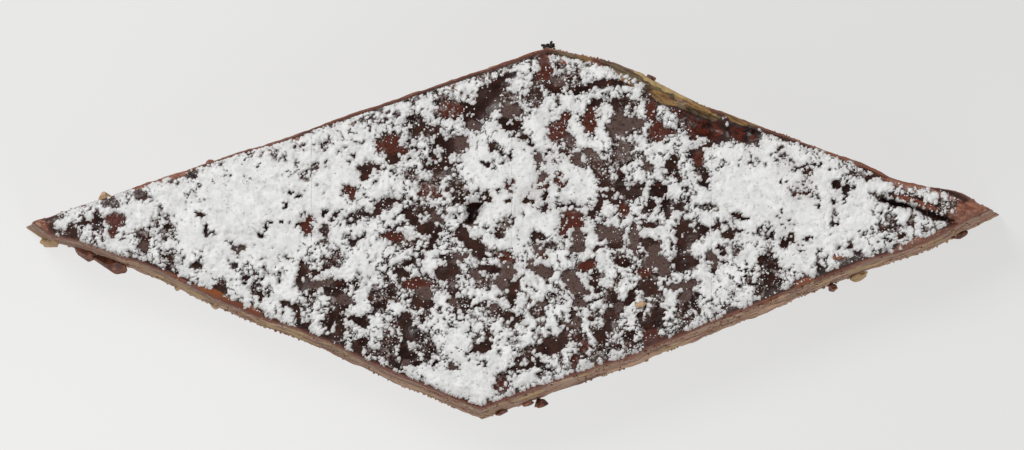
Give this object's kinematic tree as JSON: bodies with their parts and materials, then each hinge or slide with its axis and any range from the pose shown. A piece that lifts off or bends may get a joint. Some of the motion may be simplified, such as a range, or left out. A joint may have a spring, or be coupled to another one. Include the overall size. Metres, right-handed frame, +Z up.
{
  "type": "cookie",
  "caption": "Lozenge-shaped bar cookie: a flat, dark, sticky slab with knife-cut sides, crumbs along its edges and icing sugar dusted on top.",
  "frame": {"origin": "on the flat base, under the middle of the bounding box", "axes": "+Z up from the base to the sugared top, +X along the long diagonal towards the tip with the fold, +Y towards the blunt corner with the chipped edge"},
  "size_m": [0.0974, 0.038, 0.0099],
  "materials": {
    "dark_slab": "sticky, satin, uneven",
    "icing_sugar": "matte powder in clumps"
  },
  "bodies": {
    "root": {"cookie": "dark_slab"}
  },
  "joints": []
}
